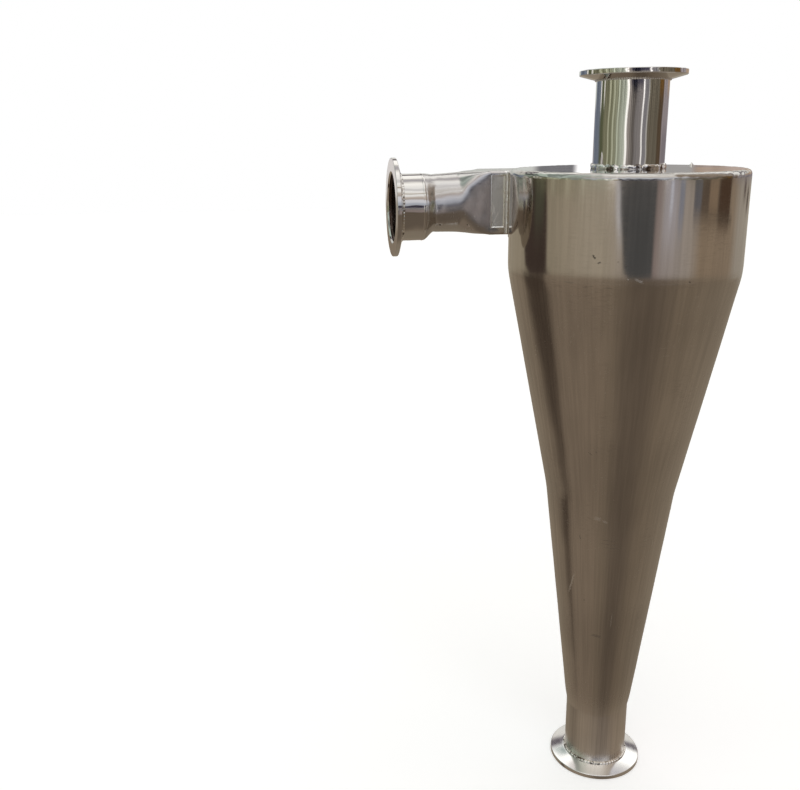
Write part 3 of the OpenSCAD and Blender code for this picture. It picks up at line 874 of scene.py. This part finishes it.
# %% Rim
RIM_ROUND = BARREL_R - PLATE_R
ROUND_POWER = 0.8
rim_outline = [(PLATE_R, PLATE_Z), (BARREL_R - SHELL_T, PLATE_Z), (BARREL_R - SHELL_T, BARREL_TOP)]
for i in range(13):
    angle = math.radians(90 * i / 12)
    rim_outline.append((PLATE_R + RIM_ROUND * math.cos(angle) ** ROUND_POWER,
                        BARREL_TOP + RIM_ROUND * math.sin(angle) ** ROUND_POWER))
rim = turn("top_plate_rim", rim_outline, steps=420)
make_uneven(rim, 0.55 * MM, 0.006, lambda co: between(
    math.hypot(co.x, co.y) + co.z - BARREL_TOP, PLATE_R + 2 * MM, BARREL_R + 6 * MM, 3 * MM))
cut(rim, duct_passage(PLATE_Z))
smooth(rim, 40)
hand_over(rim, rim_steel, "top_plate_weld")

# %% [markdown]
# ## Pipes
# Three short lengths of the same polished tube. Their walls are 1.65 mm, and their long sides
# are cut up as the cones' are, because the wavering of the highlights shows most here.

# %% Pipes
def pipe(name, node, axis, depth, grain, material):
    """A length of tube that reaches from end to end of its node"""
    along = 2 if axis is UPRIGHT else 0
    start, end = (corner[along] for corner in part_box(node))
    piece = turn(name, [(PIPE_R - PIPE_T, start), (PIPE_R, start), (PIPE_R, end), (PIPE_R - PIPE_T, end)],
                 axis=axis, finer=2.5 * MM)
    make_uneven(piece, depth, grain, lambda co: between(co[along], start, end, 5 * MM))
    smooth(piece, 30)
    hand_over(piece, material, node)
    return piece


def darken_inside_as_shade(piece, within):
    """The inside of the inlet is rougher, and its dark colour is painted shade"""
    piece.data.materials.append(inside_painted_shade_steel)
    for face in piece.data.polygons:
        c = face.center
        if math.hypot(c.y - INLET_Y, c.z - INLET_Z) < within:
            face.material_index = 1


pipe("outlet_tube", "outlet_pipe", UPRIGHT, 0.08 * MM, 0.03, pipe_steel)
inlet_tube = pipe("inlet_tube", "inlet_pipe", ON_INLET, 0.35 * MM, 0.012, pipe_steel)
darken_inside_as_shade(inlet_tube, PIPE_R - 0.8 * MM)
pipe("dust_tube", "dust_pipe", UPRIGHT, 0.15 * MM, 0.03, cone_steel)

# %% [markdown]
# ## Clamp flanges
# All three ports end in the same flange for a clamp: a flat face with a ring recess for the
# seal, a thin rim, and a back that slopes by 15 degrees to a small hub. One function turns it,
# given where its face is and which way it looks.

# %% Flanges
RIM_T = 3.5 * MM
RIM_CHAMFER = 0.3 * MM
HUB_R = PIPE_R + 2.4 * MM
RECESS_R = 26.1 * MM
RECESS_DEPTH = 2.6 * MM
RECESS_CHAMFER = 1.2 * MM
SOCKET_DEPTH = RECESS_DEPTH + 1.4 * MM


def clamp_flange(name, node, face, inward, axis, material):
    """A turned flange whose face lies at face, with inward 1 or -1 along the axis"""
    profile = [(RECESS_R + RECESS_CHAMFER, 0), (FLANGE_R - RIM_CHAMFER, 0), (FLANGE_R, RIM_CHAMFER),
               (FLANGE_R, RIM_T - RIM_CHAMFER), (FLANGE_R - RIM_CHAMFER, RIM_T), (HUB_R, HUB_H),
               (PIPE_R, HUB_H), (PIPE_R, SOCKET_DEPTH), (PIPE_R - PIPE_T, SOCKET_DEPTH),
               (PIPE_R - PIPE_T, RECESS_DEPTH), (RECESS_R, RECESS_DEPTH), (RECESS_R, RECESS_CHAMFER)]
    piece = turn(name, [(r, face + inward * depth) for r, depth in profile], axis=axis)
    round_edges(piece, 0.18 * MM)
    smooth(piece)
    hand_over(piece, material, node)
    return piece


clamp_flange("lower_clamp_flange", "lower_flange", 0.0, 1, UPRIGHT, foot_steel_painted_paler)
clamp_flange("outlet_clamp_flange", "outlet_flange", OUTLET_Z, -1, UPRIGHT, flange_steel)
inlet_flange = clamp_flange("inlet_clamp_flange", "inlet_flange", INLET_X, 1, ON_INLET, flange_steel)
darken_inside_as_shade(inlet_flange, RECESS_R + 0.05 * MM)

# %% [markdown]
# ## Weld beads
# A bead is a fillet with a row of overlapping puddles on it, like coins pushed over. The
# fillet is turned, one puddle is modelled as a flattened ball, and spinning it with copies
# lays the row. A coarse unevenness over the whole then makes no two puddles alike.

# %% Beads round the pipes
FILLET_STEPS = 6
FILLET_REACH = 0.7
PUDDLE_AT = 0.36
OVERLAP = 1.35


def bead(name, node, seat, grow, leg, count, axis, rough, ball=0.55, slim=1.0, material=bead_steel):
    """A fillet of the given leg on the face at seat, growing by 1 or -1 along the axis, with its puddles"""
    outline = [(PIPE_R, seat)]
    for i in range(FILLET_STEPS + 1):
        a = math.radians(90 * i / FILLET_STEPS)
        outline.append((PIPE_R + leg * slim * FILLET_REACH * math.cos(a) ** 1.4,
                        seat + grow * leg * FILLET_REACH * math.sin(a) ** 1.4))
    fillet = turn(name, outline, axis=axis, steps=300)
    middle = leg * PUDDLE_AT
    width = math.pi * (PIPE_R + middle) / count * OVERLAP / (leg * ball)
    if axis is UPRIGHT:
        spot, stretch = Vector((PIPE_R + middle * slim, 0, seat + grow * middle)), (slim, width, 1)
    else:
        spot, stretch = Vector((seat + grow * middle, INLET_Y + PIPE_R + middle, INLET_Z)), (1, 1, width)
    only(fillet)
    edit()
    select("DESELECT")
    bpy.ops.mesh.primitive_uv_sphere_add(segments=18, ring_count=12, radius=leg * ball, location=spot)
    bpy.ops.transform.resize(value=stretch, center_override=spot)
    bpy.ops.mesh.spin(steps=count, dupli=True, angle=2 * math.pi, center=axis[0], axis=axis[1])
    edit(False)
    make_uneven(fillet, rough * MM, 0.0035, lambda co: 1.0)
    bpy.ops.object.shade_smooth()
    hand_over(fillet, material, node)


bead("outlet_pipe_bead", "outlet_pipe_weld", TOP_Z, 1, 2.9 * MM, 30, UPRIGHT, 1.6, ball=0.8, slim=0.4)
bead("outlet_flange_bead", "outlet_flange_weld", OUTLET_Z - HUB_H, -1, 1.5 * MM, 90, UPRIGHT, 0.2, ball=0.4,
     material=pipe_steel)
bead("lower_flange_bead", "lower_flange_weld", HUB_H, 1, 1.8 * MM, 60, UPRIGHT, 0.4, ball=0.5)
bead("inlet_flange_bead", "inlet_flange_weld", INLET_X + HUB_H, 1, 1.4 * MM, 60, ON_INLET, 0.6)

# %% Ground seam between the inlet pipe and the transition
start, end = (corner.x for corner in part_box("inlet_pipe_weld"))
INNER_R, OUTER_R = PIPE_R - 0.2 * MM, PIPE_R + 0.2 * MM
ring_seam = turn("inlet_pipe_seam", [
    (INNER_R, start), (PIPE_R, start), (OUTER_R, (start * 2 + end) / 3), (OUTER_R, (start + end * 2) / 3),
    (PIPE_R, end), (INNER_R, end)], axis=ON_INLET)
make_uneven(ring_seam, 0.25 * MM, 0.006, lambda co: between(co.x, start, end, 0.7 * MM))
smooth(ring_seam)
hand_over(ring_seam, pipe_steel, "inlet_pipe_weld")

# %% [markdown]
# ## Transition from round to square
# This is the piece that takes the most skill: one sheet that starts as the round pipe, is
# pressed in below a shoulder within 8 mm, and then widens to the box of the duct. Its
# sections are super ellipses, circles whose sides grow flatter and flatter, and they blend
# into the box's own section near its end. A row of circles is added, one at each station, and
# the points of each circle are pushed out to the section there. Bridging the loops makes the
# skin, and Solidify gives it its wall. Each point keeps its direction, so nothing twists.

# %% Sections of the transition
SHOULDER_X = SEAM_X + 8 * MM
DUCT_W = BARREL_R - DUCT_Y
DUCT_H = PLATE_Z - DUCT_Z
ROUND = dict(wide=PIPE_R, up=PIPE_R, down=PIPE_R, power=2.0, boxed=0.0, y=INLET_Y, z=INLET_Z)
SHOULDER = dict(wide=23 * MM, up=26.7 * MM, down=16.9 * MM, power=2.2, boxed=0.0, y=INLET_Y,
                z=INLET_Z - 2 * MM)
SQUARE = dict(wide=DUCT_W / 2, up=DUCT_H / 2, down=DUCT_H / 2, power=7.0, boxed=1.0, y=DUCT_Y + DUCT_W / 2,
              z=DUCT_Z + DUCT_H / 2)
BOX_CORNER = 1.7 * MM


def between_sections(first, second, t):
    """A section part of the way from one to another; its sides stay round for the first half"""
    mixed = {key: first[key] + (second[key] - first[key]) * t for key in first}
    late = min(1.0, max(0.0, (t - 0.42) / 0.45))
    late = late * late * (3 - 2 * late)
    if second["boxed"]:
        mixed["power"] = first["power"] + (second["power"] - first["power"]) * late
    mixed["boxed"] = second["boxed"] * max(0.0, (t - 0.6) / 0.4) ** 1.5
    return mixed


def rounded_reach(half_w, half_h, corner, c, s):
    """How far a rounded square reaches in the direction with the given cosine and sine"""
    if half_w / c * s <= half_h - corner:
        return half_w / c
    if half_h / s * c <= half_w - corner:
        return half_h / s
    along = c * (half_w - corner) + s * (half_h - corner)
    rest = (half_w - corner) ** 2 + (half_h - corner) ** 2 - corner ** 2
    return along + math.sqrt(max(along * along - rest, 0.0))


def reach(section, c, s):
    """How far a section reaches in one direction"""
    high = section["up"] if s > 0 else section["down"]
    c, s = max(abs(c), 1e-9), max(abs(s), 1e-9)
    power = section["power"]
    soft = ((c / section["wide"]) ** power + (s / high) ** power) ** (-1 / power)
    boxy = rounded_reach(section["wide"], high, BOX_CORNER, c, s)
    return soft + (boxy - soft) * section["boxed"]


# %% Stations and directions of the transition
POINTS_ROUND = 192
CORNER_POINTS = 10
CORNER_FROM = 0.985


def corner_heavy(section):
    """Directions that crowd towards the four corners, as the points of the square end lie"""
    found = []
    flat = POINTS_ROUND // 4 - CORNER_POINTS
    corner = math.atan2(section["up"], section["wide"])
    halves = [CORNER_FROM * half for half in (corner, math.pi / 2 - corner)]
    for k in range(4):
        spread, next_spread = halves[k % 2], halves[1 - k % 2]
        for i in range(flat):
            found.append(math.radians(90 * k) + math.atan(math.tan(spread) * (2 * i / (flat - 1) - 1)))
        gap_start, gap_end = math.radians(90 * k) + spread, math.radians(90 * (k + 1)) - next_spread
        for i in range(1, CORNER_POINTS + 1):
            found.append(gap_start + (gap_end - gap_start) * i / (CORNER_POINTS + 1))
    return found


directions = corner_heavy(SQUARE)
stations = []
for i in range(11):
    t = i / 10
    press = t * t * (3 - 2 * t)
    stations.append((SEAM_X + (SHOULDER_X - SEAM_X) * t, between_sections(ROUND, SHOULDER, press)))
for i in range(1, 31):
    t = i / 30
    stations.append((SHOULDER_X + (BOX_X - SHOULDER_X) * t, between_sections(SHOULDER, SQUARE, t)))
print(len(stations), "stations of", len(directions), "points")

# %% Skin of the transition
skin = start_from(bpy.ops.mesh.primitive_circle_add, "inlet_transition_sheet", vertices=POINTS_ROUND,
                  radius=PIPE_R, location=(0, 0, 0))
edit()
for _ in stations[1:]:
    bpy.ops.mesh.primitive_circle_add(vertices=POINTS_ROUND, radius=PIPE_R)
edit(False)
for index, vertex in enumerate(skin.data.vertices):
    x, section = stations[index // POINTS_ROUND]
    angle = directions[index % POINTS_ROUND]
    c, s = math.cos(angle), math.sin(angle)
    distance = reach(section, c, s)
    vertex.co = (x, section["y"] + distance * c, section["z"] + distance * s)
only(skin)
edit()
bpy.ops.mesh.select_mode(type="EDGE")
select()
bpy.ops.mesh.bridge_edge_loops()
select()
bpy.ops.mesh.normals_make_consistent(inside=False)
edit(False)
make_uneven(skin, 0.4 * MM, 0.014, lambda co: between(co.x, SEAM_X, BOX_X, 6 * MM))
make_uneven(skin, 0.45 * MM, 0.005, lambda co: between(co.x, SEAM_X, SHOULDER_X + 7 * MM, 4 * MM))
modify(skin, "wall", "SOLIDIFY", thickness=SHELL_T, offset=-1)
smooth(skin, 40)
hand_over(skin, duct_steel, "inlet_transition")

# %% [markdown]
# ## Straight box of the duct
# Four plates make the box that runs into the barrel. Each is a cube brought to size, and all
# but the outer one, which ends on the tangent, are cut to the barrel's curve by a cylinder.

# %% Duct plates
DUCT_T = 2 * MM


def follow_barrel(piece):
    """Cuts away what would reach into the barrel"""
    cut(piece, start_from(bpy.ops.mesh.primitive_cylinder_add, "inside", vertices=256,
                          radius=BARREL_R - SHELL_T, depth=0.2, location=(0, 0, TOP_Z)))


def duct_plate(name, node, low, high, curved=True):
    """One plate of the box, between two corners in Y and Z"""
    piece = block(name, (BOX_X, *low), (TANGENT_X, *high))
    if curved:
        follow_barrel(piece)
    round_edges(piece, 0.35 * MM, angle=60)
    smooth(piece, 40)
    hand_over(piece, duct_steel, node)


INSIDE_Y = (DUCT_Y + DUCT_T, BARREL_R - DUCT_T)
duct_plate("duct_top_plate", "duct_top_wall", (INSIDE_Y[0], PLATE_Z - DUCT_T), (INSIDE_Y[1], PLATE_Z))
duct_plate("duct_bottom_plate", "duct_bottom_wall", (INSIDE_Y[0], DUCT_Z), (INSIDE_Y[1], DUCT_Z + DUCT_T))
duct_plate("duct_outer_plate", "duct_outer_wall", (INSIDE_Y[1], DUCT_Z), (BARREL_R, PLATE_Z), curved=False)

# %% [markdown]
# The front plate carries a sunken field with a ground frame. Its two long front edges are
# bevelled first, as round as the corners of the transition. Five bisections then mark out the
# field and the strip beside the corner weld. Two insets of the field's face follow: the first
# raises a narrow border, and the second sinks what lies inside it.

# %% Front plate with its sunken field
FIELD_X = (BOX_X + 0.4 * MM, FRONT_X - 4.6 * MM)
FIELD_Z = (DUCT_Z + 5.0 * MM, PLATE_Z - 2.6 * MM)
CORNER_X = FRONT_X - 2.2 * MM


def in_field(c):
    """Whether a face's centre lies within the field"""
    return FIELD_X[0] < c.x < FIELD_X[1] and FIELD_Z[0] < c.z < FIELD_Z[1]


front = block("duct_front_plate", (BOX_X, DUCT_Y, DUCT_Z), (TANGENT_X, DUCT_Y + DUCT_T, PLATE_Z))
only(front)
edit()
bpy.ops.mesh.select_mode(type="EDGE")
select("DESELECT")
edit(False)
for edge in front.data.edges:
    one, other = (front.data.vertices[v].co for v in edge.vertices)
    edge.select = max(one.y, other.y) < DUCT_Y + 0.1 * MM and abs(one.z - other.z) < 0.1 * MM
edit()
bpy.ops.mesh.bevel(offset=BOX_CORNER, segments=5)
for place, normal in [((x, 0, 0), (1, 0, 0)) for x in (*FIELD_X, CORNER_X)] + [
        ((0, 0, z), (0, 0, 1)) for z in FIELD_Z]:
    select()
    bpy.ops.mesh.bisect(plane_co=place, plane_no=normal)
bpy.ops.mesh.select_mode(type="FACE")
select("DESELECT")
edit(False)
for face in front.data.polygons:
    face.select = face.normal.y < -0.9 and in_field(face.center)
edit()
bpy.ops.mesh.inset(thickness=0.6 * MM, depth=0.35 * MM)
bpy.ops.mesh.inset(thickness=0.7 * MM, depth=-0.8 * MM)
edit(False)
follow_barrel(front)
round_edges(front, 0.2 * MM, angle=50)
smooth(front, 40)
hand_over(front, duct_steel, "duct_front_wall")

# %% Finishes of the field, its ground border and the strip beside it, the last two near white as painted highlight
SANDED, EDGE, FRAME = 1, 2, 3
for finish in (sanded_steel, edge_steel_painted_highlight, frame_steel_painted_highlight):
    front.data.materials.append(finish)
for face in front.data.polygons:
    c = face.center
    if in_field(c) and c.y < DUCT_Y + MM:
        face.material_index = SANDED if c.y > DUCT_Y + 0.4 * MM else EDGE
    elif FIELD_X[1] < c.x < CORNER_X:
        face.material_index = FRAME
print("front plate's field made")

# %% [markdown]
# The weld up the front corner between duct and barrel stays a raised line, ground by hand.
# It is a thin upright rod, uneven along its height, and its near-white finish is a painted highlight.

# %% Raised line of the front corner weld
LINE_R = 0.8 * MM
CORE_R = 0.05 * MM
foot, head = DUCT_Z + 0.2 * MM, BARREL_TOP + 2.3 * MM
line_at = Vector((FRONT_X - 2.7 * MM, DUCT_Y + 0.2 * MM, 0))
line_outline = [(LINE_R * 0.7, foot)]
line_outline += [(LINE_R, z) for z in heights(DUCT_Z + 0.6 * MM, BARREL_TOP + 2 * MM, 0.8 * MM)]
line_outline += [(LINE_R * 0.7, head), (CORE_R, head), (CORE_R, foot)]
line = turn("duct_corner_line", line_outline, axis=(line_at, (0, 0, 1)), steps=24)
make_uneven(line, 0.4 * MM, 0.004, lambda co: 1.0)
smooth(line)
line.data.materials.append(edge_steel_painted_highlight)
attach(line, "root")

# %% [markdown]
# ## What the frame already shows well
# The two welds that run along straight or cut edges keep their solids, and only take a finish.

# %% Finishes on the solids that stay
for node in ("duct_mouth_weld", "duct_outer_weld"):
    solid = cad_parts[node]
    solid.data.materials.clear()
    solid.data.materials.append(seam_steel)

# %% [markdown]
# ## Weld drop
# A drop of weld stands on the plate near its rim: a low mound that ends in a blunt point.

# %% Weld drop on the plate
low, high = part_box("weld_drop")
drop_at = Vector(((low.x + high.x) / 2, (low.y + high.y) / 2, low.z))
drop_r, drop_h = (high.x - low.x) / 2, high.z - low.z
mound = [(drop_r * r, drop_h * h) for r, h in ((1, 0), (0.8, 0.25), (0.42, 0.5), (0.3, 0.85), (0.15, 1))]
drop = turn("weld_drop_lump", [(CORE_R, 0), *mound, (CORE_R, drop_h)], axis=(drop_at, (0, 0, 1)), steps=32)
make_uneven(drop, 0.5 * MM, 0.002, lambda co: between(co.z, drop_at.z, drop_at.z + 4 * drop_h, 0.4 * MM))
smooth(drop)
hand_over(drop, bead_steel, "weld_drop")
